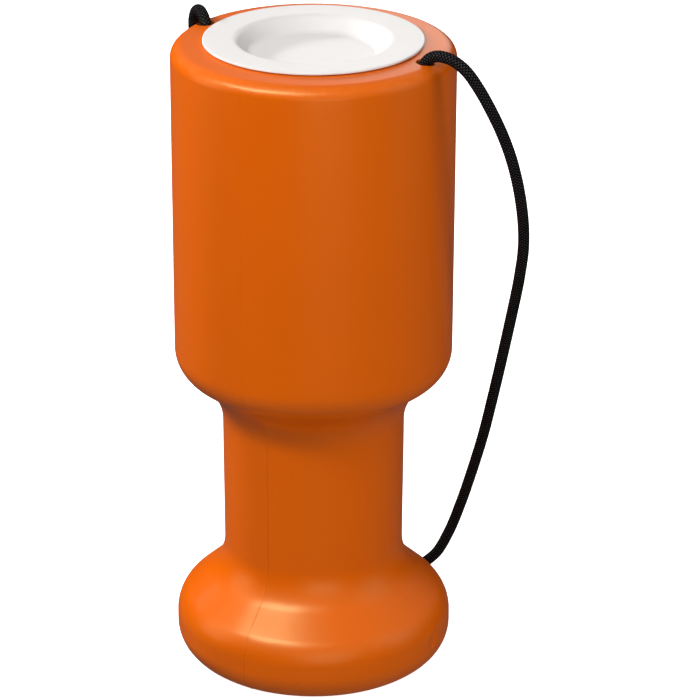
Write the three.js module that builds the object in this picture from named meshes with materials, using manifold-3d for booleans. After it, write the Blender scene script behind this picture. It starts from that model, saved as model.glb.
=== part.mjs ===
// Hand-held collecting container: a blow-moulded body with a push-in lid and a carrying cord.
// Millimetres, +Z up. The origin is the centre of the base, on the surface it stands on.
import * as THREE from 'three';
import { mergeVertices } from 'three/addons/utils/BufferGeometryUtils.js';
import Module from 'manifold-3d';

// ---- driving dimensions -------------------------------------------------

const HEAD_R = 50.0; // head, outside radius
const NECK_R_TOP = 33.0; // grip, just under the head
const NECK_R_LOW = 32.6; // grip, just above the foot
const FOOT_R = 50.4; // foot, outside radius
const WALL = 2.0; // moulded wall thickness

const SHOULDER_Z = 234.5; // where the top slope would meet the head wall
const DECK_Z = 235.3; // inner edge of the top slope, beside the lid
const SEAT_Z = 235.45; // ring that the lid rests on
const SEAT_R = 38.2;
const MOUTH_R = 35.0; // open mouth

const HEAD_LOW_Z = 115.4; // where the head wall would meet its sloped underside
const NECK_TOP_Z = 102.7; // where that slope would meet the grip
const NECK_LOW_Z = 37.2; // where the grip would meet the slope of the foot
const FOOT_TOP_Z = 21.2; // where that slope would meet the foot wall

const SHOULDER_FILLET = 4.8; // outside fillets, from the shoulder down
const HEAD_LOW_FILLET = 12.0;
const NECK_TOP_FILLET = 20.0;
const NECK_LOW_FILLET = 18.5;
const FOOT_TOP_FILLET = 13.0;

const BASE_FLAT_OUT_R = 38.8; // flat ring that the container stands on
const BASE_FLAT_IN_R = 34.0;
const BASE_RISE = 3.0; // the middle of the base is pushed up by this much

const LID_TOP_Z = 236.6;
const LID_R = 38.7; // lid flange
const LID_EDGE = 0.85; // lid flange thickness
const LID_WALL = 1.6;
const SKIRT_R = 34.2; // skirt that enters the mouth
const SKIRT_LOW_Z = 226.6;
const BEAD_R = 34.7; // snap bead round the skirt
const DISH_RIM_R = 27.2; // recess, where the flat top would meet the slope
const DISH_FLOOR_R = 22.3; // recess, where the slope would meet the floor
const DISH_FLOOR_Z = 231.2;

const SLOT_LENGTH = 29.0; // coin slot in the recess floor
const SLOT_WIDTH = 5.7;
const SLOT_OFFSET = 14.9; // from the axis to the middle of the slot
const SLOT_TURN = -60; // degrees from +X to the side that the slot lies on

const HOLE_X = 44.0; // cord holes, one at +X and one at -X
const HOLE_R = 3.3;

const CORD_D = 4.0;
const CORD_SIDES = 10;
const KNOT_R = 5.1; // overhand knots inside the shoulder, each with a short tail
const KNOT_HEIGHT = 9.5;
const KNOT_TAIL = 7.0;
const KNOT_TOP_Z = 231.1;
const KNOT_PLACES = [
  { name: 'knot_right', x: 42.3, y: 0 },
  { name: 'knot_left', x: -42.4, y: -0.3 },
];

const SEGMENTS = 40; // round the axis

// Centreline of the cord: up through the hole at +X, out over the shoulder, down past the head, round behind
// the foot where it touches the surface, up behind the body, over the shoulder and down the hole at -X.
const CORD_ROUTE = [
  [43.06, 0, 232.3],
  [43.7, 0, 234.1],
  [44.8, 0, 235.7],
  [46.5, 0, 237.05],
  [48.5, 0, 237.8],
  [50.8, 0, 237.95],
  [53.8, 0, 237.5],
  [57.0, 0.1, 236.1],
  [60.1, 0.5, 233.6],
  [63.2, 1.8, 228.9],
  [66.3, 3.3, 223.0],
  [70.6, 6.6, 211.7],
  [73.4, 10.1, 199.6],
  [74.8, 14.3, 184.0],
  [73.9, 18.7, 168.4],
  [70.5, 22.9, 153.2],
  [65.6, 27.8, 137.2],
  [59.6, 33.2, 117.8],
  [53.4, 38.7, 98.5],
  [46.9, 44.2, 79.0],
  [40.3, 49.2, 61.6],
  [33.0, 54.3, 43.6],
  [25.4, 59.1, 27.0],
  [17.4, 62.9, 13.8],
  [7.0, 65.5, 5.0],
  [-6.0, 66.3, 2.3],
  [-19.0, 64.5, 5.6],
  [-29.0, 60.5, 14.5],
  [-37.0, 54.6, 30.0],
  [-42.3, 48.6, 50.0],
  [-46.0, 42.4, 76.0],
  [-48.6, 36.2, 104.0],
  [-50.7, 29.6, 134.0],
  [-52.4, 22.8, 165.0],
  [-53.6, 15.9, 196.0],
  [-54.1, 10.6, 218.0],
  [-54.02, 8.1, 230.9],
  [-53.5, 7.7, 233.9],
  [-52.1, 6.55, 236.25],
  [-50.0, 4.86, 237.65],
  [-47.65, 2.95, 237.8],
  [-45.45, 1.2, 236.65],
  [-43.95, 0, 234.6],
  [-43.25, -0.55, 232.3],
];

// ---- helpers ------------------------------------------------------------

const wasm = await Module();
wasm.setup();

// Welds the shared vertices of a geometry and drops triangles that have collapsed to a line.
function weld(geometry) {
  const plain = geometry.clone();
  plain.deleteAttribute('normal');
  plain.deleteAttribute('uv');
  const welded = mergeVertices(plain, 1e-4);
  const index = welded.getIndex().array;
  const kept = [];
  for (let i = 0; i < index.length; i += 3) {
    const [a, b, c] = [index[i], index[i + 1], index[i + 2]];
    if (a !== b && b !== c && c !== a) {
      kept.push(a, b, c);
    }
  }
  welded.setIndex(kept);
  return welded;
}

function toSolid(geometry) {
  const welded = weld(geometry);
  const vertProperties = new Float32Array(welded.getAttribute('position').array);
  const triVerts = new Uint32Array(welded.getIndex().array);
  return new wasm.Manifold(new wasm.Mesh({ numProp: 3, vertProperties, triVerts }));
}

function toGeometry(solid) {
  const mesh = solid.getMesh();
  const geometry = new THREE.BufferGeometry();
  geometry.setAttribute('position', new THREE.BufferAttribute(new Float32Array(mesh.vertProperties), 3));
  geometry.setIndex(new THREE.BufferAttribute(new Uint32Array(mesh.triVerts), 1));
  geometry.computeVertexNormals();
  return geometry;
}

// Turns a list of [r, z, fillet radius, steps] corners into a profile with rounded corners.
function rounded(corners) {
  const points = [];
  corners.forEach(([r, z, fillet = 0, steps = 4], i) => {
    const corner = new THREE.Vector2(r, z);
    if (!fillet) {
      points.push(corner);
      return;
    }
    const [br, bz] = corners[i - 1];
    const [ar, az] = corners[i + 1];
    const back = new THREE.Vector2(br - r, bz - z).normalize();
    const ahead = new THREE.Vector2(ar - r, az - z).normalize();
    const half = Math.acos(back.dot(ahead)) / 2;
    const inward = back.clone().add(ahead).normalize();
    const centre = corner.clone().addScaledVector(inward, fillet / Math.sin(half));
    const start = corner.clone().addScaledVector(back, fillet / Math.tan(half)).sub(centre);
    const turn = Math.sign(back.cross(ahead)) * (Math.PI - 2 * half);
    for (let k = 0; k <= steps; k += 1) {
      const spoke = start.clone().rotateAround(new THREE.Vector2(), (-turn * k) / steps);
      points.push(centre.clone().add(spoke));
    }
  });
  return points;
}

// A solid of revolution about Z. The profile runs anticlockwise seen with r to the right and z up.
function turned(points) {
  const geometry = new THREE.LatheGeometry(points, SEGMENTS);
  geometry.rotateX(Math.PI / 2);
  return geometry;
}

function plastic(color, roughness) {
  return new THREE.MeshStandardMaterial({ color, roughness, metalness: 0 });
}

const group = new THREE.Group();

function addPiece(name, geometry, material) {
  const mesh = new THREE.Mesh(geometry, material);
  mesh.name = name;
  group.add(mesh);
}

// ---- body ---------------------------------------------------------------

const outside = rounded([
  [0, BASE_RISE],
  [28.5, BASE_RISE, 4, 2],
  [BASE_FLAT_IN_R, 0, 1.5, 2],
  [FOOT_R, 0, FOOT_R - BASE_FLAT_OUT_R, 6],
  [FOOT_R, FOOT_TOP_Z, FOOT_TOP_FILLET, 4],
  [NECK_R_LOW, NECK_LOW_Z, NECK_LOW_FILLET, 4],
  [NECK_R_TOP, NECK_TOP_Z, NECK_TOP_FILLET, 4],
  [HEAD_R, HEAD_LOW_Z, HEAD_LOW_FILLET, 5],
  [HEAD_R, SHOULDER_Z, SHOULDER_FILLET, 5],
  [SEAT_R + 0.3, DECK_Z],
  [SEAT_R, SEAT_Z],
  [MOUTH_R, SEAT_Z],
]);

const inside = rounded([
  [MOUTH_R, SEAT_Z - WALL],
  [HEAD_R - WALL, SHOULDER_Z - WALL, SHOULDER_FILLET - WALL, 2],
  [HEAD_R - WALL, HEAD_LOW_Z + 1.0, HEAD_LOW_FILLET - WALL, 3],
  [NECK_R_TOP - WALL, NECK_TOP_Z + 1.0, NECK_TOP_FILLET + WALL, 3],
  [NECK_R_LOW - WALL, NECK_LOW_Z - 0.9, NECK_LOW_FILLET + WALL, 3],
  [FOOT_R - WALL, FOOT_TOP_Z - 0.9, FOOT_TOP_FILLET - WALL, 3],
  [FOOT_R - WALL, WALL, FOOT_R - BASE_FLAT_OUT_R - WALL, 3],
  [BASE_FLAT_IN_R - 1, WALL],
  [28.0, BASE_RISE + WALL],
  [0, BASE_RISE + WALL],
]);

let bodySolid = toSolid(turned([...outside, ...inside]));
for (const side of [1, -1]) {
  const drill = new THREE.CylinderGeometry(HOLE_R, HOLE_R, 16, 24);
  drill.rotateX(Math.PI / 2);
  drill.translate(side * HOLE_X, 0, SHOULDER_Z);
  bodySolid = bodySolid.subtract(toSolid(drill));
}
addPiece('body', toGeometry(bodySolid), plastic(0xdd6a0c, 0.42));

// ---- lid ----------------------------------------------------------------

const lidProfile = rounded([
  [0, DISH_FLOOR_Z - LID_WALL],
  [DISH_FLOOR_R + 0.6, DISH_FLOOR_Z - LID_WALL, 4.5, 4],
  [DISH_RIM_R + 0.9, LID_TOP_Z - LID_WALL],
  [SKIRT_R - LID_WALL, LID_TOP_Z - LID_WALL],
  [SKIRT_R - LID_WALL, SKIRT_LOW_Z],
  [SKIRT_R - 0.5, SKIRT_LOW_Z],
  [BEAD_R, SKIRT_LOW_Z + 1.6],
  [BEAD_R, SKIRT_LOW_Z + 2.4],
  [SKIRT_R, SKIRT_LOW_Z + 3.4],
  [SKIRT_R, LID_TOP_Z - LID_EDGE],
  [LID_R, LID_TOP_Z - LID_EDGE],
  [LID_R, LID_TOP_Z, 0.4, 3],
  [DISH_RIM_R, LID_TOP_Z, 4, 5],
  [DISH_FLOOR_R, DISH_FLOOR_Z, 4, 5],
  [0, DISH_FLOOR_Z],
]);

const slotShape = new THREE.Shape();
const slotHalf = SLOT_LENGTH / 2 - SLOT_WIDTH / 2;
slotShape.moveTo(-slotHalf, -SLOT_WIDTH / 2);
slotShape.lineTo(slotHalf, -SLOT_WIDTH / 2);
slotShape.absarc(slotHalf, 0, SLOT_WIDTH / 2, -Math.PI / 2, Math.PI / 2, false);
slotShape.lineTo(-slotHalf, SLOT_WIDTH / 2);
slotShape.absarc(-slotHalf, 0, SLOT_WIDTH / 2, Math.PI / 2, (3 * Math.PI) / 2, false);
const slotCutter = new THREE.ExtrudeGeometry(slotShape, { depth: 8, bevelEnabled: false, curveSegments: 5 });
slotCutter.translate(0, SLOT_OFFSET, DISH_FLOOR_Z - 5);
slotCutter.rotateZ(THREE.MathUtils.degToRad(SLOT_TURN - 90));

const lidSolid = toSolid(turned(lidProfile)).subtract(toSolid(slotCutter));
addPiece('lid', toGeometry(lidSolid), plastic(0xf2f1ee, 0.4));

// ---- cord and knots -----------------------------------------------------

// The steps follow the route's own points, so they are close together where the cord bends sharply.
class Route extends THREE.CatmullRomCurve3 {
  getPointAt(u, target) {
    return this.getPoint(u, target);
  }

  getTangentAt(u, target) {
    return this.getTangent(u, target);
  }
}

const cordSection = new THREE.Shape();
for (let k = 0; k < CORD_SIDES; k += 1) {
  const angle = (2 * Math.PI * k) / CORD_SIDES;
  const [x, y] = [(Math.cos(angle) * CORD_D) / 2, (Math.sin(angle) * CORD_D) / 2];
  if (k === 0) {
    cordSection.moveTo(x, y);
  } else {
    cordSection.lineTo(x, y);
  }
}

const route = new Route(CORD_ROUTE.map((p) => new THREE.Vector3(...p)), false, 'centripetal');
const cordGeometry = new THREE.ExtrudeGeometry(cordSection, {
  steps: CORD_ROUTE.length * 2 - 8,
  extrudePath: route,
  bevelEnabled: false,
});
addPiece('cord', weld(cordGeometry), plastic(0x121212, 0.85));

const tailR = CORD_D / 2 - 0.1;
const knotLowZ = KNOT_TOP_Z - KNOT_HEIGHT;
const knotProfile = [
  new THREE.Vector2(0, knotLowZ - KNOT_TAIL),
  new THREE.Vector2(tailR, knotLowZ - KNOT_TAIL),
  new THREE.Vector2(tailR, knotLowZ + 0.4),
  new THREE.Vector2(KNOT_R * 0.8, knotLowZ + 1.7),
  new THREE.Vector2(KNOT_R, KNOT_TOP_Z - KNOT_HEIGHT * 0.6),
  new THREE.Vector2(KNOT_R, KNOT_TOP_Z - KNOT_HEIGHT * 0.35),
  new THREE.Vector2(KNOT_R * 0.8, KNOT_TOP_Z - 1.2),
  new THREE.Vector2(KNOT_R * 0.45, KNOT_TOP_Z),
  new THREE.Vector2(0, KNOT_TOP_Z),
];
for (const { name, x, y } of KNOT_PLACES) {
  const knot = new THREE.LatheGeometry(knotProfile, 16);
  knot.rotateX(Math.PI / 2);
  knot.translate(x, y, 0);
  addPiece(name, weld(knot), plastic(0x121212, 0.85));
}

export default group;
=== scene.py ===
"""Looks of a hand-held collecting container: moulded body, push-in lid and braided carrying cord."""
import math

import bpy
import numpy as np
from mathutils import Matrix, Vector


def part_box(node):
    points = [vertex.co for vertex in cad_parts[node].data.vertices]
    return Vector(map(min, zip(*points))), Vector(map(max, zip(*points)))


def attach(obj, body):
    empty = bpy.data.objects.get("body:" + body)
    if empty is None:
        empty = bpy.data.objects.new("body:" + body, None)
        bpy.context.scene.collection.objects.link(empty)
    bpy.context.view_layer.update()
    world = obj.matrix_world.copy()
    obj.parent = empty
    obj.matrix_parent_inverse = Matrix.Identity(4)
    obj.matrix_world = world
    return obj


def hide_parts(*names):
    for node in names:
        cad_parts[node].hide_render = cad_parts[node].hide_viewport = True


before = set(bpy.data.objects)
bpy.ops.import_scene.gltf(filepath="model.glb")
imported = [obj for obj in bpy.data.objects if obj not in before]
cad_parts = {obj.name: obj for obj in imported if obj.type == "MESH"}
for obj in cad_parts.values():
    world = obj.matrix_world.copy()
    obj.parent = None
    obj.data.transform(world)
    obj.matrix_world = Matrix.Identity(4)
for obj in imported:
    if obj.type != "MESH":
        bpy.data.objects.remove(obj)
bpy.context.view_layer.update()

BODY_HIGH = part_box("body")[1]
LID_LOW, LID_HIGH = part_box("lid")
MM = 0.001
WELD = 0.001 * MM

scene = bpy.context.scene


# ---- camera -------------------------------------------------------------

CAMERA_AZIMUTH = math.radians(30.0)
CAMERA_ELEVATION = math.radians(23.09)
CAMERA_DISTANCE = 1.2159
CAMERA_LENS = 173.46
CAMERA_SHIFT = 0.0521
CAMERA_TARGET = Vector((0, 0, 0.1189))


def direction(azimuth, elevation):
    """The way from the container to something seen from it; azimuth 0 is -Y and 90 degrees is +X."""
    level = math.cos(elevation)
    return Vector((math.sin(azimuth) * level, -math.cos(azimuth) * level, math.sin(elevation)))


def make_camera():
    data = bpy.data.cameras.new("camera")
    data.lens = CAMERA_LENS
    data.shift_x = CAMERA_SHIFT
    camera = bpy.data.objects.new("camera", data)
    scene.collection.objects.link(camera)
    towards = direction(CAMERA_AZIMUTH, CAMERA_ELEVATION)
    camera.location = CAMERA_TARGET + towards * CAMERA_DISTANCE
    camera.rotation_euler = towards.to_track_quat("Z", "Y").to_euler()
    scene.camera = camera


def solid(name, verts, faces):
    mesh = bpy.data.meshes.new(name)
    mesh.from_pydata(verts, [], faces)
    piece = bpy.data.objects.new(name, mesh)
    scene.collection.objects.link(piece)
    return piece


# ---- node graphs --------------------------------------------------------

class Graph:
    """Adds nodes to a tree. An input's value is linked if it is a socket, and set if it isn't."""

    def __init__(self, tree):
        self.tree = tree

    def add(self, kind, inputs=None, **settings):
        node = self.tree.nodes.new(kind)
        for name, value in settings.items():
            setattr(node, name, value)
        for key, value in (inputs or {}).items():
            self.feed(node.inputs[key], value)
        return node

    def feed(self, socket, value):
        if isinstance(value, bpy.types.NodeSocket):
            self.tree.links.new(value, socket)
        else:
            socket.default_value = value

    def math(self, operation, *values):
        node = self.add("ShaderNodeMath", operation=operation)
        for socket, value in zip(node.inputs, values):
            self.feed(socket, value)
        return node.outputs[0]

    def vector(self, operation, *values, scale=None):
        node = self.add("ShaderNodeVectorMath", operation=operation)
        for socket, value in zip(node.inputs, values):
            self.feed(socket, value)
        if scale is not None:
            self.feed(node.inputs["Scale"], scale)
        return node.outputs["Value" if operation == "DISTANCE" else "Vector"]

    def ramp(self, value, low, high, to_low=0.0, to_high=1.0):
        node = self.add("ShaderNodeMapRange", interpolation_type="SMOOTHSTEP")
        for name, entry in (("Value", value), ("From Min", low), ("From Max", high),
                            ("To Min", to_low), ("To Max", to_high)):
            self.feed(node.inputs[name], entry)
        return node.outputs["Result"]

    def split(self, vector):
        return self.add("ShaderNodeSeparateXYZ", {"Vector": vector}).outputs

    def join(self, x, y, z):
        return self.add("ShaderNodeCombineXYZ", {"X": x, "Y": y, "Z": z}).outputs["Vector"]


def open_tree(name, kind, inputs, outputs):
    """A new tree with named sockets. Returns its graph, its input sockets by name, and its output node."""
    tree = bpy.data.node_groups.new(name, kind)
    for label, socket_type, default in inputs:
        socket = tree.interface.new_socket(name=label, in_out="INPUT", socket_type=socket_type)
        if default is not None:
            socket.default_value = default
    for label, socket_type in outputs:
        tree.interface.new_socket(name=label, in_out="OUTPUT", socket_type=socket_type)
    graph = Graph(tree)
    given = graph.add("NodeGroupInput").outputs
    return graph, {label: given[label] for label, _, _ in inputs}, graph.add("NodeGroupOutput")


def shaped(name, points, tree, values, attributes=None):
    """Runs a Geometry Nodes tree on a chain of points and returns the plain mesh that it makes."""
    chain = bpy.data.meshes.new(name)
    chain.from_pydata([tuple(p) for p in points], [(i, i + 1) for i in range(len(points) - 1)], [])
    for label, numbers in (attributes or {}).items():
        chain.attributes.new(label, "FLOAT", "POINT").data.foreach_set("value", numbers)
    source = bpy.data.objects.new(name + "_source", chain)
    scene.collection.objects.link(source)
    modifier = source.modifiers.new(name, "NODES")
    modifier.node_group = tree
    for item in tree.interface.items_tree:
        if item.in_out == "INPUT" and item.name in values:
            modifier[item.identifier] = values[item.name]
    depsgraph = bpy.context.evaluated_depsgraph_get()
    mesh = bpy.data.meshes.new_from_object(source.evaluated_get(depsgraph), depsgraph=depsgraph)
    mesh.name = name
    source.modifiers.remove(modifier)
    bpy.data.objects.remove(source)
    piece = bpy.data.objects.new(name, mesh)
    scene.collection.objects.link(piece)
    return piece


def grid_of(graph, columns, rows):
    """A grid of columns x rows points, with each point's column and row number."""
    grid = graph.add("GeometryNodeMeshGrid", {"Vertices X": columns, "Vertices Y": rows}).outputs["Mesh"]
    index = graph.add("GeometryNodeInputIndex").outputs[0]
    row = graph.math("MODULO", index, rows)
    column = graph.math("FLOOR", graph.math("DIVIDE", graph.math("ADD", index, 0.5), rows))
    return grid, column, row


SHARP_EDGE, NO_EDGE_SHARP = math.radians(35), math.pi


def finish_tree(graph, mesh, output, material, sharp_angle):
    """Welds the seam and the poles, smooths all but the sharp edges, and sets the material."""
    welded = graph.add("GeometryNodeMergeByDistance", {"Geometry": mesh, "Distance": WELD})
    smooth = graph.add("GeometryNodeSetShadeSmooth", {"Geometry": welded.outputs[0]}, domain="FACE")
    angle = graph.add("GeometryNodeInputMeshEdgeAngle").outputs["Unsigned Angle"]
    sharp = graph.add("FunctionNodeCompare", {"A": angle, "B": sharp_angle},
                      data_type="FLOAT", operation="GREATER_THAN").outputs[0]
    edged = graph.add("GeometryNodeSetShadeSmooth", {
        "Geometry": smooth.outputs[0], "Selection": sharp, "Shade Smooth": False,
    }, domain="EDGE")
    whole = graph.add("GeometryNodeRealizeInstances", {"Geometry": edged.outputs[0]})
    painted = graph.add("GeometryNodeSetMaterial", {"Geometry": whole.outputs[0], "Material": material})
    graph.feed(output.inputs[0], painted.outputs[0])


WAVE_DENSITY = 38.0
MARK_RIM_SHARPNESS, MARK_RIM_SHARE = 8.0, 0.4


def turned_tree():
    """A profile turned round Z, with parting ridges, a round mark, a faint wave, and a cutter's holes."""
    graph, given, output = open_tree("turned_piece", "GeometryNodeTree", [
        ("Profile", "NodeSocketGeometry", None),
        ("Segments", "NodeSocketInt", 256),
        ("Bunching", "NodeSocketFloat", 0.0),
        ("Ridge Height", "NodeSocketFloat", 0.0),
        ("Ridge Half Width", "NodeSocketFloat", 0.3 * MM),
        ("Wave Height", "NodeSocketFloat", 0.0),
        ("Mark Centre", "NodeSocketVector", (0, 0, 0)),
        ("Mark Radius", "NodeSocketFloat", 3.5 * MM),
        ("Mark Depth", "NodeSocketFloat", 0.0),
        ("Cutter", "NodeSocketObject", None),
        ("Material", "NodeSocketMaterial", None),
    ], [("Mesh", "NodeSocketGeometry")])
    rows = graph.add("GeometryNodeAttributeDomainSize", {"Geometry": given["Profile"]}).outputs["Point Count"]
    grid, column, row = grid_of(graph, graph.math("ADD", given["Segments"], 1), rows)

    def of_profile(value, data_type):
        node = graph.add("GeometryNodeSampleIndex", data_type=data_type, domain="POINT", clamp=True)
        graph.feed(node.inputs["Geometry"], given["Profile"])
        graph.feed(node.inputs["Value"], value)
        graph.feed(node.inputs["Index"], row)
        return node.outputs["Value"]

    turn = graph.math("MULTIPLY", graph.math("DIVIDE", column, given["Segments"]), 2 * math.pi)
    # Bunching draws the segments together at the four sides: at the cord holes, and at the parting
    # lines, whose ridges are narrow.
    pull = graph.math("SINE", graph.math("MULTIPLY", turn, 4.0))
    draw = graph.math("MULTIPLY", pull, graph.math("MULTIPLY", given["Bunching"], 1 / 4))
    angle = graph.math("SUBTRACT", turn, draw)
    spot = of_profile(graph.add("GeometryNodeInputPosition").outputs[0], "FLOAT_VECTOR")
    radius, _, height = graph.split(spot)[:3]
    place = graph.join(graph.math("MULTIPLY", radius, graph.math("COSINE", angle)),
                       graph.math("MULTIPLY", radius, graph.math("SINE", angle)), height)
    turned = graph.add("GeometryNodeSetPosition", {"Geometry": grid, "Position": place}).outputs[0]

    def weight(name):
        named = graph.add("GeometryNodeInputNamedAttribute", {"Name": name}, data_type="FLOAT")
        return of_profile(named.outputs["Attribute"], "FLOAT")

    outer = weight("outer")
    here = graph.add("GeometryNodeInputPosition").outputs[0]
    across = graph.math("DIVIDE", graph.math("ABSOLUTE", graph.split(here)[0]), given["Ridge Half Width"])
    crest = graph.math("MAXIMUM", graph.math("SUBTRACT", 1.0, graph.math("MULTIPLY", across, across)), 0.0)
    ridge = graph.math("MULTIPLY", graph.math("MULTIPLY", crest, given["Ridge Height"]), weight("ridge"))
    noise = graph.add("ShaderNodeTexNoise", {"Vector": here, "Scale": WAVE_DENSITY, "Detail": 1.0})
    wave = graph.math("MULTIPLY", graph.math("SUBTRACT", noise.outputs["Fac"], 0.5), given["Wave Height"])
    away = graph.math("DIVIDE", graph.vector("DISTANCE", here, given["Mark Centre"]), given["Mark Radius"])
    hollow = graph.math("MULTIPLY", graph.ramp(away, 0.8, 0.95, -1.0, 0.0), given["Mark Depth"])
    from_rim = graph.math("MULTIPLY", graph.math("SUBTRACT", away, 1.0), MARK_RIM_SHARPNESS)
    rim = graph.math("MAXIMUM", graph.math("SUBTRACT", 1.0, graph.math("MULTIPLY", from_rim, from_rim)), 0.0)
    rim_height = graph.math("MULTIPLY", given["Mark Depth"], MARK_RIM_SHARE)
    raised = graph.math("ADD", hollow, graph.math("MULTIPLY", rim, rim_height))
    relief = graph.math("ADD", graph.math("MULTIPLY", graph.math("ADD", wave, raised), outer), ridge)
    normal = graph.add("GeometryNodeInputNormal").outputs[0]
    moved = graph.add("GeometryNodeSetPosition",
                      {"Geometry": turned, "Offset": graph.vector("SCALE", normal, scale=relief)}).outputs[0]
    welded = graph.add("GeometryNodeMergeByDistance", {"Geometry": moved, "Distance": WELD}).outputs[0]
    cutter = graph.add("GeometryNodeObjectInfo", {"Object": given["Cutter"]}).outputs["Geometry"]
    cut = graph.add("GeometryNodeMeshBoolean", {"Mesh 1": welded, "Mesh 2": cutter},
                    operation="DIFFERENCE", solver="MANIFOLD").outputs["Mesh"]
    finish_tree(graph, cut, output, given["Material"], SHARP_EDGE)
    return graph.tree


STRAND_STEPS = 4.0
STRAND_ROUNDNESS, STRAND_DIP = 1.9, 0.55


def top_strand(graph, first, second):
    """Where a spot of the braid lies on the strand that is on top: across it, along it, and its number."""
    first_cell, second_cell = graph.math("FLOOR", first), graph.math("FLOOR", second)
    family = graph.math("FLOORED_MODULO", graph.math("ADD", first_cell, second_cell), 2.0)

    def chosen(a, b):
        return graph.math("ADD", a, graph.math("MULTIPLY", graph.math("SUBTRACT", b, a), family))

    in_first = graph.math("SUBTRACT", graph.math("FRACT", first), 0.5)
    in_second = graph.math("SUBTRACT", graph.math("FRACT", second), 0.5)
    strand = graph.math("ADD", chosen(first_cell, second_cell), graph.math("MULTIPLY", family, 31.0))
    return chosen(in_first, in_second), chosen(in_second, in_first), strand


def braid_tree():
    """A braided tube along a chain of points. Its strands stand in relief, and its ends are sealed round."""
    graph, given, output = open_tree("braided_tube", "GeometryNodeTree", [
        ("Route", "NodeSocketGeometry", None),
        ("Diameter", "NodeSocketFloat", 4 * MM),
        ("Carriers", "NodeSocketInt", 8),
        ("Pitch", "NodeSocketFloat", 1.15 * MM),
        ("Relief", "NodeSocketFloat", 0.15 * MM),
        ("End Round", "NodeSocketFloat", 1.2 * MM),
        ("Material", "NodeSocketMaterial", None),
    ], [("Mesh", "NodeSocketGeometry")])
    curve = graph.add("GeometryNodeMeshToCurve", {"Mesh": given["Route"]}).outputs["Curve"]
    length = graph.add("GeometryNodeCurveLength", {"Curve": curve}).outputs[0]
    crossings = graph.math("MULTIPLY", length, STRAND_STEPS)
    rings = graph.math("ROUND", graph.math("DIVIDE", crossings, given["Pitch"]))
    sides = graph.math("MULTIPLY", given["Carriers"], STRAND_STEPS)
    grid, side, ring = grid_of(graph, graph.math("ADD", sides, 1.0), graph.math("ADD", rings, 1.0))

    first = graph.math("DIVIDE", graph.math("ADD", side, ring), STRAND_STEPS)
    second = graph.math("DIVIDE", graph.math("SUBTRACT", side, ring), STRAND_STEPS)
    on_strand, down_strand, _ = top_strand(graph, first, second)
    across = graph.math("MULTIPLY", on_strand, STRAND_ROUNDNESS)
    along = graph.math("MULTIPLY", down_strand, 2.0)
    crown = graph.math("SQRT", graph.math("SUBTRACT", 1.0, graph.math("MULTIPLY", across, across)))
    dip = graph.math("MULTIPLY", graph.math("MULTIPLY", along, along), STRAND_DIP)
    dive = graph.math("SUBTRACT", 1.0, dip)
    height = graph.math("SUBTRACT", graph.math("MULTIPLY", crown, dive), 0.5)

    spacing = graph.math("DIVIDE", length, rings)
    rings_from_end = graph.math("MINIMUM", ring, graph.math("SUBTRACT", rings, ring))
    from_end = graph.math("MULTIPLY", rings_from_end, spacing)
    into_end = graph.math("MINIMUM", graph.math("DIVIDE", from_end, given["End Round"]), 1.0)
    short = graph.math("SUBTRACT", 1.0, into_end)
    full = graph.math("SQRT", graph.math("SUBTRACT", 1.0, graph.math("MULTIPLY", short, short)))
    relief = graph.math("MULTIPLY", height, given["Relief"])
    plain = graph.math("ADD", graph.math("MULTIPLY", given["Diameter"], 1 / 2), relief)
    radius = graph.math("MULTIPLY", plain, full)

    along_route = graph.math("DIVIDE", ring, rings)
    sample = graph.add("GeometryNodeSampleCurve", {"Curves": curve, "Factor": along_route}, mode="FACTOR")
    tangent, normal = sample.outputs["Tangent"], sample.outputs["Normal"]
    side_way = graph.vector("CROSS_PRODUCT", tangent, normal)
    angle = graph.math("MULTIPLY", graph.math("DIVIDE", side, sides), 2 * math.pi)
    out = graph.vector("ADD", graph.vector("SCALE", normal, scale=graph.math("COSINE", angle)),
                       graph.vector("SCALE", side_way, scale=graph.math("SINE", angle)))
    place = graph.vector("ADD", sample.outputs["Position"], graph.vector("SCALE", out, scale=radius))
    strand_place = graph.join(graph.math("DIVIDE", side, STRAND_STEPS),
                              graph.math("DIVIDE", ring, STRAND_STEPS), 0.0)
    # Counted at the points first, because a corner has an index of its own.
    strand_uv = graph.add("GeometryNodeFieldOnDomain", {"Value": strand_place},
                          data_type="FLOAT_VECTOR", domain="POINT").outputs[0]
    laid_out = graph.add("GeometryNodeStoreNamedAttribute",
                         {"Geometry": grid, "Name": "UVMap", "Value": strand_uv},
                         data_type="FLOAT2", domain="CORNER").outputs[0]
    tube = graph.add("GeometryNodeSetPosition", {"Geometry": laid_out, "Position": place}).outputs[0]
    finish_tree(graph, tube, output, given["Material"], NO_EDGE_SHARP)
    return graph.tree


# ---- surface effects shared by the materials ----------------------------

def grain_group():
    """Fine moulded grain on a slow ripple, with the slight colour drift of a moulded wall."""
    graph, given, output = open_tree("moulded_grain", "ShaderNodeTree", [
        ("Grain Size", "NodeSocketFloat", 0.45 * MM),
        ("Ripple Size", "NodeSocketFloat", 14 * MM),
        ("Ripple Share", "NodeSocketFloat", 0.5),
    ], [("Height", "NodeSocketFloat"), ("Drift", "NodeSocketFloat")])
    place = graph.add("ShaderNodeTexCoord").outputs["Object"]

    def noise(size, detail):
        scale = graph.math("DIVIDE", 1.0, size)
        node = graph.add("ShaderNodeTexNoise", {"Vector": place, "Scale": scale, "Detail": detail})
        return node.outputs["Fac"]

    fine = noise(given["Grain Size"], 2.0)
    slow = noise(given["Ripple Size"], 1.0)
    height = graph.math("ADD", fine, graph.math("MULTIPLY", slow, given["Ripple Share"]))
    graph.feed(output.inputs["Height"], height)
    graph.feed(output.inputs["Drift"], noise(graph.math("MULTIPLY", given["Ripple Size"], 3.0), 3.0))
    return graph.tree


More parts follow.
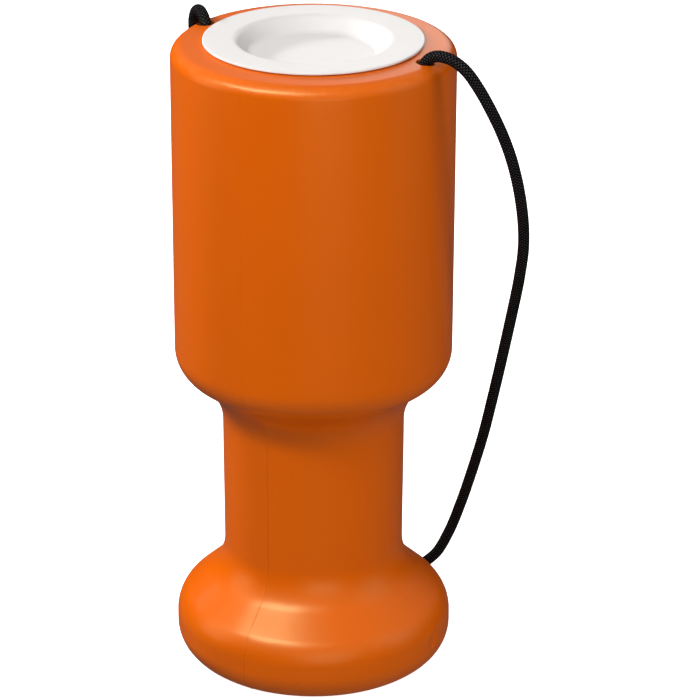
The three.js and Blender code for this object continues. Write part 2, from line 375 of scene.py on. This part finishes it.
SCUFF_DIRECTIONS = ((0.5, 0.2, 0.9), (-0.7, 0.4, 0.1), (0.1, -1.1, -0.5))
SCUFF_STRETCH = (1, 9, 9)
SCUFF_HALF_WIDTH = 0.006


def scuff_group():
    """Hairline scuffs in three directions, thin and broken up. The mask is 1 in a scuff."""
    graph, given, output = open_tree("handling_scuffs", "ShaderNodeTree", [
        ("Spacing", "NodeSocketFloat", 9 * MM),
        ("Amount", "NodeSocketFloat", 0.3),
    ], [("Mask", "NodeSocketFloat")])
    place = graph.add("ShaderNodeTexCoord").outputs["Object"]
    near = graph.math("DIVIDE", 1.0, given["Spacing"])
    total = 0.0
    for turn in SCUFF_DIRECTIONS:
        turned = graph.add("ShaderNodeMapping", {"Vector": place, "Rotation": turn, "Scale": SCUFF_STRETCH})
        streak = graph.add("ShaderNodeTexNoise", {"Vector": turned.outputs[0], "Scale": near, "Detail": 3.0})
        crest = graph.math("ABSOLUTE", graph.math("SUBTRACT", streak.outputs["Fac"], 0.5))
        line = graph.ramp(crest, 0.0, SCUFF_HALF_WIDTH, 1.0, 0.0)
        total = graph.math("MAXIMUM", total, line)
    patch = graph.add("ShaderNodeTexNoise", {"Vector": place, "Scale": graph.math("MULTIPLY", near, 0.6)})
    seen = graph.ramp(patch.outputs["Fac"], 0.55, 0.7)
    mask = graph.math("MULTIPLY", graph.math("MULTIPLY", total, seen), given["Amount"])
    graph.feed(output.inputs["Mask"], mask)
    return graph.tree


WEAR_DENSITY = 420.0


def rub_group():
    """A band round Z at a given height and radius where an edge is rubbed. The mask is 1 in its middle."""
    graph, given, output = open_tree("rubbed_edge", "ShaderNodeTree", [
        ("Height", "NodeSocketFloat", 0.0),
        ("Radius", "NodeSocketFloat", 0.05),
        ("Spread", "NodeSocketFloat", 2 * MM),
        ("Amount", "NodeSocketFloat", 0.5),
    ], [("Mask", "NodeSocketFloat")])
    place = graph.add("ShaderNodeTexCoord").outputs["Object"]
    x, y, z = graph.split(place)[:3]

    def hypotenuse(a, b):
        squares = graph.math("ADD", graph.math("MULTIPLY", a, a), graph.math("MULTIPLY", b, b))
        return graph.math("SQRT", squares)

    rise = graph.math("SUBTRACT", z, given["Height"])
    reach = graph.math("SUBTRACT", hypotenuse(x, y), given["Radius"])
    away = hypotenuse(rise, reach)
    band = graph.ramp(graph.math("DIVIDE", away, given["Spread"]), 0.0, 1.0, 1.0, 0.0)
    broken = graph.add("ShaderNodeTexNoise", {"Vector": place, "Scale": WEAR_DENSITY, "Detail": 3.0})
    mask = graph.math("MULTIPLY", band, graph.ramp(broken.outputs["Fac"], 0.4, 0.7))
    graph.feed(output.inputs["Mask"], graph.math("MULTIPLY", mask, given["Amount"]))
    return graph.tree


def new_material(name):
    material = bpy.data.materials.new(name)
    material.use_nodes = True
    graph = Graph(material.node_tree)
    return material, graph, material.node_tree.nodes["Principled BSDF"]


def mixed(graph, factor, a, b):
    """The colour a, turned to b where the factor is 1."""
    node = graph.add("ShaderNodeMix", data_type="RGBA")
    graph.feed(node.inputs[0], factor)
    graph.feed(node.inputs[6], a)
    graph.feed(node.inputs[7], b)
    return node.outputs[2]


def use_group(graph, tree, **values):
    node = graph.add("ShaderNodeGroup", node_tree=tree)
    for name, value in values.items():
        graph.feed(node.inputs[name.replace("_", " ")], value)
    return node.outputs


# ---- materials ----------------------------------------------------------

PARTING_HALF_WIDTH = 0.28 * MM
ORANGE, ORANGE_DRIFTED = (0.72, 0.118, 0.0003, 1), (0.68, 0.105, 0.0002, 1)
ORANGE_PARTING, ORANGE_RUBBED = (0.42, 0.045, 0.0, 1), (0.86, 0.27, 0.05, 1)
ORANGE_GLOSS_TINT = (1.0, 0.95, 0.45, 1)
WHITE, WHITE_DRIFTED = (0.75, 0.725, 0.705, 1), (0.72, 0.699, 0.682, 1)
WHITE_RUBBED = (0.66, 0.64, 0.61, 1)
# The crown colour is a painted glint: lighter where light would catch each strand's crown.
YARN_BETWEEN, YARN_PAINTED_GLINT = (0.0022, 0.002, 0.0022, 1), (0.042, 0.039, 0.04, 1)


def orange_plastic(grain, scuffs, rub):
    """Satin blow-moulded polyethylene, with its parting line and lightly rubbed edges."""
    material, graph, shader = new_material("orange_moulded_plastic")
    texture = use_group(graph, grain, Grain_Size=0.42 * MM, Ripple_Size=16 * MM, Ripple_Share=0.9)
    scuffed = use_group(graph, scuffs, Spacing=11 * MM, Amount=0.06)["Mask"]
    shoulder = use_group(graph, rub, Height=HEAD_TOP_Z - 1.6 * MM, Radius=HEAD_R - 1.6 * MM,
                         Spread=2.6 * MM, Amount=0.3)
    foot = use_group(graph, rub, Height=4 * MM, Radius=FOOT_R - 4 * MM, Spread=5 * MM, Amount=0.35)
    rubbed = graph.math("MAXIMUM", graph.math("MAXIMUM", shoulder["Mask"], foot["Mask"]), scuffed)
    place = graph.add("ShaderNodeTexCoord").outputs["Object"]
    x, _, z = graph.split(place)[:3]
    on_head = graph.ramp(z, HEAD_LOW_Z, HEAD_LOW_Z + 9 * MM, 0.28, 0.05)
    beside = graph.math("ABSOLUTE", x)
    parting = graph.math("MULTIPLY", graph.ramp(beside, 0.05 * MM, PARTING_HALF_WIDTH, 1.0, 0.0), on_head)
    drifted = mixed(graph, texture["Drift"], ORANGE, ORANGE_DRIFTED)
    lined = mixed(graph, parting, drifted, ORANGE_PARTING)
    colour = mixed(graph, graph.math("MULTIPLY", rubbed, 0.5), lined, ORANGE_RUBBED)
    graph.feed(shader.inputs["Base Color"], colour)
    rough = graph.math("ADD", 0.27, graph.math("MULTIPLY", texture["Drift"], 0.06))
    graph.feed(shader.inputs["Roughness"], graph.math("ADD", rough, graph.math("MULTIPLY", rubbed, 0.15)))
    bump = graph.add("ShaderNodeBump", {"Strength": 0.28, "Distance": 0.05 * MM, "Height": texture["Height"]})
    graph.feed(shader.inputs["Normal"], bump.outputs[0])
    shader.inputs["Specular IOR Level"].default_value = 0.75
    shader.inputs["Specular Tint"].default_value = ORANGE_GLOSS_TINT
    return material


def white_plastic(grain, scuffs, rub):
    """Smooth injection-moulded polyethylene, faintly warm."""
    material, graph, shader = new_material("white_moulded_plastic")
    texture = use_group(graph, grain, Grain_Size=0.3 * MM, Ripple_Size=9 * MM, Ripple_Share=0.6)
    scuffed = use_group(graph, scuffs, Spacing=8 * MM, Amount=0.1)["Mask"]
    edge = use_group(graph, rub, Height=LID_TOP_Z, Radius=LID_R, Spread=0.9 * MM, Amount=0.4)["Mask"]
    rubbed = graph.math("MAXIMUM", scuffed, edge)
    drifted = mixed(graph, texture["Drift"], WHITE, WHITE_DRIFTED)
    colour = mixed(graph, graph.math("MULTIPLY", rubbed, 0.4), drifted, WHITE_RUBBED)
    graph.feed(shader.inputs["Base Color"], colour)
    rough = graph.math("ADD", 0.3, graph.math("MULTIPLY", texture["Drift"], 0.14))
    graph.feed(shader.inputs["Roughness"], graph.math("ADD", rough, graph.math("MULTIPLY", rubbed, 0.2)))
    bump = graph.add("ShaderNodeBump", {"Strength": 0.15, "Distance": 0.03 * MM, "Height": texture["Height"]})
    graph.feed(shader.inputs["Normal"], bump.outputs[0])
    shader.inputs["Specular IOR Level"].default_value = 0.45
    return material


FIBRES_ACROSS, FIBRES_ALONG = 9.0, 0.9


def black_braid():
    """Black filament yarn: each strand's filaments run along it, and its crown is glossier and carries a
    painted glint, a lighter colour where light would catch it.
    """
    material, graph, shader = new_material("black_braided_yarn")
    u, v = graph.split(graph.add("ShaderNodeUVMap", uv_map="UVMap").outputs[0])[:2]
    across, along, strand = top_strand(graph, graph.math("ADD", u, v), graph.math("SUBTRACT", u, v))
    fibre_place = graph.join(graph.math("MULTIPLY", across, FIBRES_ACROSS),
                             graph.math("MULTIPLY", along, FIBRES_ALONG), strand)
    fibre_noise = graph.add("ShaderNodeTexNoise", {"Vector": fibre_place, "Scale": 1.6, "Detail": 2.0})
    fibre = fibre_noise.outputs["Fac"]
    crown = graph.ramp(graph.math("ABSOLUTE", across), 0.1, 0.5, 1.0, 0.0)
    rise = graph.ramp(graph.math("ABSOLUTE", along), 0.1, 0.5, 1.0, 0.0)
    pillow = graph.math("MULTIPLY", crown, rise)
    # Painted glint: the crowns are coloured lighter where light would catch them; the same mask also makes
    # them smoother and more specular.
    gloss_and_painted_glint = graph.math("MULTIPLY", graph.ramp(pillow, 0.3, 0.8), graph.ramp(fibre, 0.38, 0.62, 0.2, 1.0))
    colour = mixed(graph, gloss_and_painted_glint, YARN_BETWEEN, YARN_PAINTED_GLINT)
    graph.feed(shader.inputs["Base Color"], colour)
    graph.feed(shader.inputs["Roughness"], graph.ramp(gloss_and_painted_glint, 0.0, 1.0, 0.75, 0.48))
    height = graph.math("ADD", graph.math("MULTIPLY", pillow, 0.7), graph.math("MULTIPLY", fibre, 0.5))
    bump = graph.add("ShaderNodeBump", {"Strength": 0.5, "Distance": 0.08 * MM, "Height": height})
    graph.feed(shader.inputs["Normal"], bump.outputs[0])
    graph.feed(shader.inputs["Specular IOR Level"], graph.ramp(gloss_and_painted_glint, 0.0, 1.0, 0.03, 0.45))
    return material


# ---- profiles -----------------------------------------------------------

ARC_TURN = math.radians(9)


def rounded(corners, step=1.2 * MM):
    """Turns (r, z, fillet radius, arc step) corners into profile points. The last two may be left out."""
    points = []
    for i, corner in enumerate(corners):
        here = Vector(corner[:2])
        fillet = corner[2] if len(corner) > 2 else 0
        arc_step = corner[3] if len(corner) > 3 else step
        if not fillet:
            points.append(here)
            continue
        back = (Vector(corners[i - 1][:2]) - here).normalized()
        ahead = (Vector(corners[i + 1][:2]) - here).normalized()
        half = math.acos(max(-1.0, min(1.0, back.dot(ahead)))) / 2
        centre = here + (back + ahead).normalized() * (fillet / math.sin(half))
        start = here + back * (fillet / math.tan(half)) - centre
        sweep = math.pi - 2 * half
        turn = math.copysign(sweep, -(back.x * ahead.y - back.y * ahead.x))
        count = max(3, math.ceil(sweep * fillet / arc_step), math.ceil(sweep / ARC_TURN))
        for k in range(count + 1):
            a = turn * k / count
            points.append(centre + Vector((start.x * math.cos(a) - start.y * math.sin(a),
                                           start.x * math.sin(a) + start.y * math.cos(a))))
    return points


def stepped(points, longest):
    """Adds points to straight stretches, so that no step is over the longest."""
    result = [points[0]]
    for a, b in zip(points, points[1:]):
        count = max(1, math.ceil((b - a).length / longest))
        result.extend(a.lerp(b, k / count) for k in range(1, count + 1))
    return result


def in_plane(points):
    """The profile's points in the XZ plane."""
    return [(p.x, 0, p.y) for p in points]


# ---- body ---------------------------------------------------------------

FOOT_R = BODY_HIGH.x
SEAT_Z = BODY_HIGH.z
HEAD_R = 50.0 * MM
HEAD_TOP_Z = SEAT_Z - 0.95 * MM
NECK_R_TOP, NECK_R_LOW = 33.0 * MM, 32.6 * MM
WALL = 2.0 * MM
DECK_Z = SEAT_Z - 0.15 * MM
SEAT_R, MOUTH_R = 38.2 * MM, 35.0 * MM
HEAD_LOW_Z, NECK_TOP_Z = 115.4 * MM, 102.7 * MM
NECK_LOW_Z, FOOT_TOP_Z = 37.2 * MM, 21.2 * MM
BASE_OUT_R, BASE_IN_R, BASE_RISE = 38.8 * MM, 34.0 * MM, 3.0 * MM
HOLE_X, HOLE_R = 44.0 * MM, 3.3 * MM
MARK_Z, MARK_R, MARK_DEPTH = 14.5 * MM, 3.6 * MM, 0.35 * MM
DRILL_SIDES, DRILL_BELOW, DRILL_ABOVE = 64, 9 * MM, 7 * MM
BODY_SEGMENTS, BODY_BUNCHING = 320, 0.85
BODY_WAVE, PARTING_HEIGHT = 0.12 * MM, 0.1 * MM
HEAD_PARTING_SHARE = 0.3

LID_TOP_Z, LID_R = LID_HIGH.z, LID_HIGH.x


def drill():
    """The two upright cylinders that cut the cord holes."""
    verts, faces = [], []
    for side in (1, -1):
        low, high = len(verts), len(verts) + DRILL_SIDES
        for z in (SEAT_Z - DRILL_BELOW, SEAT_Z + DRILL_ABOVE):
            for k in range(DRILL_SIDES):
                a = 2 * math.pi * k / DRILL_SIDES
                verts.append((side * HOLE_X + HOLE_R * math.cos(a), HOLE_R * math.sin(a), z))
        faces.append([low + k for k in reversed(range(DRILL_SIDES))])
        faces.append([high + k for k in range(DRILL_SIDES)])
        for k in range(DRILL_SIDES):
            after = (k + 1) % DRILL_SIDES
            faces.append([low + k, low + after, high + after, high + k])
    return solid("drill", verts, faces)


def make_body(tree, material):
    outside = stepped(rounded([
        (0, BASE_RISE), (28.5 * MM, BASE_RISE, 4 * MM), (BASE_IN_R, 0, 1.5 * MM),
        (FOOT_R, 0, FOOT_R - BASE_OUT_R, 0.5 * MM),
        (FOOT_R, FOOT_TOP_Z, 13 * MM, 0.5 * MM),
        (NECK_R_LOW, NECK_LOW_Z, 18.5 * MM), (NECK_R_TOP, NECK_TOP_Z, 20 * MM),
        (HEAD_R, HEAD_LOW_Z, 12 * MM, 0.8 * MM), (HEAD_R, HEAD_TOP_Z, 4.8 * MM, 0.35 * MM),
        (SEAT_R + 0.3 * MM, DECK_Z), (SEAT_R, SEAT_Z),
        (MOUTH_R + 0.3 * MM, SEAT_Z), (MOUTH_R, SEAT_Z - 0.3 * MM),
    ]), 6 * MM)
    inside = stepped(rounded([
        (MOUTH_R, SEAT_Z - WALL), (HEAD_R - WALL, HEAD_TOP_Z - WALL, 2.8 * MM),
        (HEAD_R - WALL, HEAD_LOW_Z + 1 * MM, 10 * MM, 2 * MM),
        (NECK_R_TOP - WALL, NECK_TOP_Z + 1 * MM, 22 * MM, 3 * MM),
        (NECK_R_LOW - WALL, NECK_LOW_Z - 0.9 * MM, 20.5 * MM, 3 * MM),
        (FOOT_R - WALL, FOOT_TOP_Z - 0.9 * MM, 11 * MM, 2 * MM),
        (FOOT_R - WALL, WALL, FOOT_R - BASE_OUT_R - WALL, 2 * MM),
        (BASE_IN_R - 1 * MM, WALL), (28 * MM, BASE_RISE + WALL), (0, BASE_RISE + WALL),
    ]), 12 * MM)
    outer = [1.0 if 0.4 * MM < p.y < SEAT_Z - 0.05 * MM else 0.0 for p in outside]
    ridge = [w * (1.0 if p.y < HEAD_LOW_Z + 4 * MM else HEAD_PARTING_SHARE) for w, p in zip(outer, outside)]
    holes = drill()
    body = shaped("body_shell", in_plane(outside + inside), tree, {
        "Segments": BODY_SEGMENTS, "Bunching": BODY_BUNCHING, "Wave Height": BODY_WAVE,
        "Ridge Height": PARTING_HEIGHT, "Ridge Half Width": PARTING_HALF_WIDTH,
        "Mark Centre": (FOOT_R, 0, MARK_Z), "Mark Radius": MARK_R, "Mark Depth": MARK_DEPTH,
        "Cutter": holes, "Material": material,
    }, {"outer": outer + [0.0] * len(inside), "ridge": ridge + [0.0] * len(inside)})
    bpy.data.objects.remove(holes)
    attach(body, "container")
    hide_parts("body")
    return body


# ---- lid ----------------------------------------------------------------

LID_EDGE, LID_WALL = 0.85 * MM, 1.6 * MM
SKIRT_R, BEAD_R = 34.2 * MM, 34.7 * MM
DISH_RIM_R, DISH_FLOOR_R = 27.2 * MM, 22.3 * MM
DISH_FLOOR_Z = LID_TOP_Z - 5.4 * MM
SLOT_LENGTH, SLOT_WIDTH, SLOT_OFFSET = 29 * MM, 5.7 * MM, 14.9 * MM
SLOT_TURN = math.radians(-60)
SLOT_EASE = 0.3 * MM
SLOT_CUT_BELOW, SLOT_CUT_ABOVE = 4 * MM, 2 * MM
SLOT_END_SIDES, SLOT_EASE_STEPS = 16, 5
LID_SEGMENTS, LID_WAVE = 240, 0.04 * MM


def slot_cutter():
    """A round-ended slot, flared at the top so that its rim is eased."""
    verts, faces = [], []
    levels = [(-SLOT_CUT_BELOW, 0.0), (-SLOT_EASE, 0.0)]
    for k in range(1, SLOT_EASE_STEPS + 1):
        a = math.radians(90 / SLOT_EASE_STEPS * k)
        levels.append((-SLOT_EASE * math.cos(a), SLOT_EASE * (1 - math.sin(math.pi / 2 - a))))
    levels.append((SLOT_CUT_ABOVE, SLOT_EASE))
    toward = Vector((math.cos(SLOT_TURN), math.sin(SLOT_TURN), 0))
    along = Vector((-toward.y, toward.x, 0))
    for depth, flare in levels:
        radius = SLOT_WIDTH / 2 + flare
        for end in (1, -1):
            for k in range(SLOT_END_SIDES + 1):
                a = -math.pi / 2 + math.pi * k / SLOT_END_SIDES + (math.pi if end < 0 else 0)
                spot = along * (end * (SLOT_LENGTH - SLOT_WIDTH) / 2 + radius * math.cos(a))
                spot += toward * (SLOT_OFFSET - radius * math.sin(a))
                verts.append((spot.x, spot.y, DISH_FLOOR_Z + depth))
    count = 2 * (SLOT_END_SIDES + 1)
    for level in range(len(levels) - 1):
        a, b = level * count, (level + 1) * count
        faces.extend([a + k, a + (k + 1) % count, b + (k + 1) % count, b + k] for k in range(count))
    faces.append(list(reversed(range(count))))
    top = (len(levels) - 1) * count
    faces.append([top + k for k in range(count)])
    return solid("slot_cutter", verts, faces)


def make_lid(tree, material):
    under = LID_TOP_Z - LID_EDGE
    profile = stepped(rounded([
        (0, DISH_FLOOR_Z - LID_WALL), (DISH_FLOOR_R + 0.6 * MM, DISH_FLOOR_Z - LID_WALL, 4.5 * MM, 0.8 * MM),
        (DISH_RIM_R + 0.9 * MM, LID_TOP_Z - LID_WALL, 0.8 * MM, 0.3 * MM),
        (SKIRT_R - LID_WALL, LID_TOP_Z - LID_WALL, 0.6 * MM, 0.3 * MM),
        (SKIRT_R - LID_WALL, LID_LOW.z, 0.4 * MM, 0.2 * MM),
        (SKIRT_R - 0.5 * MM, LID_LOW.z, 0.4 * MM, 0.2 * MM),
        (BEAD_R, LID_LOW.z + 2 * MM, 0.8 * MM, 0.2 * MM), (SKIRT_R, LID_LOW.z + 3.4 * MM, 0.8 * MM, 0.2 * MM),
        (SKIRT_R, under, 0.3 * MM, 0.15 * MM), (LID_R, under, 0.2 * MM, 0.1 * MM),
        (LID_R, LID_TOP_Z, 0.4 * MM, 0.08 * MM), (DISH_RIM_R, LID_TOP_Z, 4 * MM, 0.3 * MM),
        (DISH_FLOOR_R, DISH_FLOOR_Z, 4 * MM, 0.3 * MM), (0, DISH_FLOOR_Z),
    ], 0.5 * MM), 4 * MM)
    wavy = [1.0 if p.y > LID_TOP_Z - 0.1 * MM and p.x < LID_R - 1 * MM else 0.0 for p in profile]
    cutter = slot_cutter()
    lid = shaped("push_in_lid", in_plane(profile), tree, {
        "Segments": LID_SEGMENTS, "Wave Height": LID_WAVE, "Cutter": cutter, "Material": material,
    }, {"outer": wavy})
    bpy.data.objects.remove(cutter)
    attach(lid, "lid")
    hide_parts("lid")
    return lid


# ---- cord ---------------------------------------------------------------

CORD_D, CORD_RELIEF = 4.0 * MM, 0.18 * MM
CORD_PITCH, CORD_CARRIERS = 1.15 * MM, 8
KNOT_CORD_D, KNOT_RELIEF = 3.7 * MM, 0.16 * MM
KNOT_CONTACT = 3.25 * MM  # a limp braid squeezes where its turns press on each other
KNOT_POINTS = 64
KNOT_TAIL = 6 * MM
# Up through the hole at +X, over the shoulder and down past the head, round behind the foot where it
# touches the surface, then up behind the body and down the hole at -X.
CORD_ROUTE = [
    (0.04306, 0, 0.2323), (0.0437, 0, 0.2341), (0.0448, 0, 0.2357), (0.0465, 0, 0.23705),
    (0.0485, 0, 0.2378), (0.0508, 0, 0.23795), (0.0538, 0, 0.2375), (0.057, 0.0001, 0.2361),
    (0.0601, 0.0005, 0.2336), (0.0632, 0.0018, 0.2289), (0.0663, 0.0033, 0.223),
    (0.0706, 0.0066, 0.2117), (0.0734, 0.0101, 0.1996), (0.0748, 0.0143, 0.184),
    (0.0739, 0.0187, 0.1684), (0.0705, 0.0229, 0.1532), (0.0656, 0.0278, 0.1372),
    (0.0596, 0.0332, 0.1178), (0.0534, 0.0387, 0.0985), (0.0469, 0.0442, 0.079),
    (0.0403, 0.0492, 0.0616), (0.033, 0.0543, 0.0436), (0.0254, 0.0591, 0.027),
    (0.0174, 0.0629, 0.0138), (0.007, 0.0655, 0.005), (-0.006, 0.0663, 0.0023),
    (-0.019, 0.0645, 0.0056), (-0.029, 0.0605, 0.0145), (-0.037, 0.0546, 0.03),
    (-0.0423, 0.0486, 0.05), (-0.046, 0.0424, 0.076), (-0.0486, 0.0362, 0.104),
    (-0.0507, 0.0296, 0.134), (-0.0524, 0.0228, 0.165), (-0.0536, 0.0159, 0.196),
    (-0.0541, 0.0106, 0.218), (-0.05402, 0.0081, 0.2309), (-0.0535, 0.0077, 0.2339),
    (-0.0521, 0.00655, 0.23625), (-0.05, 0.00486, 0.23765), (-0.04765, 0.00295, 0.2378),
    (-0.04545, 0.0012, 0.23665), (-0.04395, 0, 0.2346), (-0.04325, -0.00055, 0.2323),
]


def smooth_route(points, steps):
    """A centripetal Catmull-Rom curve through the points."""
    points = [Vector(p) for p in points]
    points = [points[0] * 2 - points[1], *points, points[-1] * 2 - points[-2]]
    result = []
    for p0, p1, p2, p3 in zip(points, points[1:], points[2:], points[3:]):
        t0, t1, t2 = ((b - a).length ** 0.5 for a, b in ((p0, p1), (p1, p2), (p2, p3)))
        m1 = ((p1 - p0) / t0 - (p2 - p0) / (t0 + t1) + (p2 - p1) / t1) * t1
        m2 = ((p2 - p1) / t1 - (p3 - p1) / (t1 + t2) + (p3 - p2) / t2) * t1
        for k in range(steps):
            t = k / steps
            result.append(p1 * (2 * t ** 3 - 3 * t ** 2 + 1) + m1 * (t ** 3 - 2 * t ** 2 + t)
                          + p2 * (3 * t ** 2 - 2 * t ** 3) + m2 * (t ** 3 - t ** 2))
    return result + [points[-2]]


PULL_ROUNDS, RELAX_FROM, LINK_ROUNDS = 700, 0.75, 6
PULL, LINK_EASE, CONTACT_PUSH, BEND_EASE = 0.1, 0.45, 0.25, 0.12


def pull_tight(chain, step, contact):
    """Draws the ends of a chain of points apart until its turns press on each other, then lets it relax."""
    apart = math.ceil(1.5 * contact / step)
    first, second = np.triu_indices(len(chain), k=apart)
    for turn in range(PULL_ROUNDS):
        along = chain[-1] - chain[0]
        pull = PULL * step * along / np.linalg.norm(along) if turn < RELAX_FROM * PULL_ROUNDS else 0.0
        chain[-1] += pull
        chain[0] -= pull
        for _ in range(LINK_ROUNDS):
            link = chain[1:] - chain[:-1]
            length = np.linalg.norm(link, axis=1, keepdims=True)
            shift = LINK_EASE * link * (length - step) / length
            chain[:-1] += shift
            chain[1:] -= shift
            gap = chain[second] - chain[first]
            distance = np.linalg.norm(gap, axis=1)
            near = distance < contact
            push = gap[near] * (CONTACT_PUSH * (contact - distance[near]) / distance[near])[:, None]
            np.add.at(chain, first[near], -push)
            np.add.at(chain, second[near], push)
        chain[1:-1] += BEND_EASE * ((chain[:-2] + chain[2:]) / 2 - chain[1:-1])
    return chain


def tied_knot():
    """The centreline of an overhand knot with a short tail, hanging down from the origin."""
    t = np.linspace(-1.95, 1.95, 400)
    size = 1.15 * KNOT_CONTACT
    loose = size * np.stack([t ** 3 - 3 * t, 0.55 * (t ** 4 - 4 * t ** 2), 0.16 * (t ** 5 - 10 * t)], axis=1)
    run = np.concatenate([[0.0], np.cumsum(np.linalg.norm(np.diff(loose, axis=0), axis=1))])
    step = run[-1] / (KNOT_POINTS - 1)
    even = step * np.arange(KNOT_POINTS)
    chain = np.stack([np.interp(even, run, loose[:, k]) for k in range(3)], axis=1)
    lead = np.arange(1, 12)[:, None]
    chain = np.vstack([(chain[0] + (chain[0] - chain[1]) * lead)[::-1], chain,
                       chain[-1] + (chain[-1] - chain[-2]) * lead])
    chain = pull_tight(chain, step, KNOT_CONTACT)
    axis = Vector(chain[-1] - chain[0])
    turn = axis.rotation_difference(Vector((0, 0, -1))).to_matrix()
    hung = [turn @ Vector(p - chain[0]) for p in chain]
    off_line = [k for k, p in enumerate(hung) if math.hypot(p.x, p.y) > 0.15 * KNOT_CONTACT]
    last = off_line[-1] + round(KNOT_TAIL / step)
    hung = hung[off_line[0] - 1:last + 1]
    return [p - hung[0] for p in hung]


def make_knot(name, node, knot, from_cord, tree, material):
    """Ties the knot on the end of the cord, its bulk turned to where the CAD knot is."""
    low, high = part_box(node)
    centre = (low + high) / 2
    bulk = Vector([(min(p[k] for p in knot) + max(p[k] for p in knot)) / 2 for k in (0, 1)])
    wanted = Vector((centre.x - from_cord[0].x, centre.y - from_cord[0].y))
    turn = Matrix.Rotation(math.atan2(wanted.y, wanted.x) - math.atan2(bulk.y, bulk.x), 3, "Z")
    route = [from_cord[1]] + [from_cord[0] + turn @ p for p in knot]
    piece = shaped(name, smooth_route(route, 3), tree, {
        "Diameter": KNOT_CORD_D, "Carriers": CORD_CARRIERS, "Pitch": CORD_PITCH,
        "Relief": KNOT_RELIEF, "Material": material,
    })
    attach(piece, "container")
    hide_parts(node)
    return piece


def make_cord(tree, material):
    route = smooth_route(CORD_ROUTE, 12)
    cord = shaped("carrying_cord", route, tree, {
        "Diameter": CORD_D, "Carriers": CORD_CARRIERS, "Pitch": CORD_PITCH,
        "Relief": CORD_RELIEF, "End Round": 0.4 * MM, "Material": material,
    })
    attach(cord, "container")
    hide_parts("cord")
    knot = tied_knot()
    knots = [make_knot("knot_on_right_end", "knot_right", knot, route[:2], tree, material),
             make_knot("knot_on_left_end", "knot_left", knot, route[:-3:-1], tree, material)]


# ---- studio -------------------------------------------------------------

FLOOR_HALF, FLOOR_Z = 3.0, -0.05 * MM
SKY, GROUND, BACKDROP = 0.33, 0.07, 1.1


def make_floor():
    corners = [(x * FLOOR_HALF, y * FLOOR_HALF, FLOOR_Z) for x, y in ((-1, -1), (1, -1), (1, 1), (-1, 1))]
    floor = solid("floor", corners, [(0, 1, 2, 3)])
    material, _, shader = new_material("pale_floor")
    shader.inputs["Base Color"].default_value = (0.9, 0.9, 0.9, 1)
    shader.inputs["Roughness"].default_value = 0.9
    shader.inputs["Specular IOR Level"].default_value = 0.1
    shader.inputs["Emission Color"].default_value = (1, 1, 1, 1)
    shader.inputs["Emission Strength"].default_value = 0.9
    floor.data.materials.append(material)
    floor.visible_diffuse = False
    floor.visible_glossy = False
    floor.visible_shadow = False


SOFTBOXES = [  # name, azimuth, elevation, distance, width, height, brightness, seen in reflections
    ("key", -98, 22, 1.0, 0.18, 0.10, 170.0, False),
    ("soft_left", -60, 15, 0.95, 0.50, 0.70, 0.8, True),
    ("left_band", -34, 44, 0.90, 0.45, 0.12, 14.0, True),
    ("front_band", -6, 50, 0.90, 0.40, 0.12, 18.0, True),
    ("right_band", 28, 50, 0.90, 0.40, 0.12, 3.0, True),
    ("overhead", -10, 70, 0.95, 0.40, 0.25, 1.2, True),
    ("right_edge", 105, 15, 0.95, 0.40, 0.70, 2.9, False),
    ("back_right", 198, 24, 1.1, 0.45, 0.40, 1.4, True),
    ("front_soft", 40, 5, 0.95, 0.60, 0.40, 4.1, False),
    ("from_below", 0, -90, 0.6, 1.6, 1.6, 0.35, False),
]


def make_lights():
    for name, azimuth, elevation, distance, width, height, brightness, mirrored in SOFTBOXES:
        data = bpy.data.lights.new(name, "AREA")
        data.shape = "RECTANGLE"
        data.size, data.size_y = width, height
        data.energy = brightness * math.pi * width * height
        light = bpy.data.objects.new(name, data)
        scene.collection.objects.link(light)
        light.visible_glossy = mirrored
        towards = direction(math.radians(azimuth), math.radians(elevation))
        light.location = Vector((0, 0, BODY_HIGH.z / 2)) + towards * distance
        light.rotation_euler = towards.to_track_quat("Z", "Y").to_euler()
    world = bpy.data.worlds.new("studio")
    scene.world = world
    world.use_nodes = True
    graph = Graph(world.node_tree)
    background = world.node_tree.nodes["Background"]
    rays = graph.add("ShaderNodeLightPath").outputs
    height = graph.split(graph.add("ShaderNodeTexCoord").outputs["Generated"])[2]
    from_above = graph.ramp(height, 0.0, 0.6, 0.0, SKY)
    from_under = graph.ramp(height, -0.35, -0.05, GROUND, 0.0)
    backdrop = graph.math("MULTIPLY", rays["Is Camera Ray"], BACKDROP)
    strength = graph.math("MAXIMUM", graph.math("ADD", from_above, from_under), backdrop)
    background.inputs["Color"].default_value = (1, 1, 1, 1)
    graph.feed(background.inputs["Strength"], strength)
    scene.view_settings.view_transform = "Standard"


make_camera()
turned, braided = turned_tree(), braid_tree()
grain, scuffs, rub = grain_group(), scuff_group(), rub_group()
make_cord(braided, black_braid())
make_body(turned, orange_plastic(grain, scuffs, rub))
make_lid(turned, white_plastic(grain, scuffs, rub))
make_floor()
make_lights()
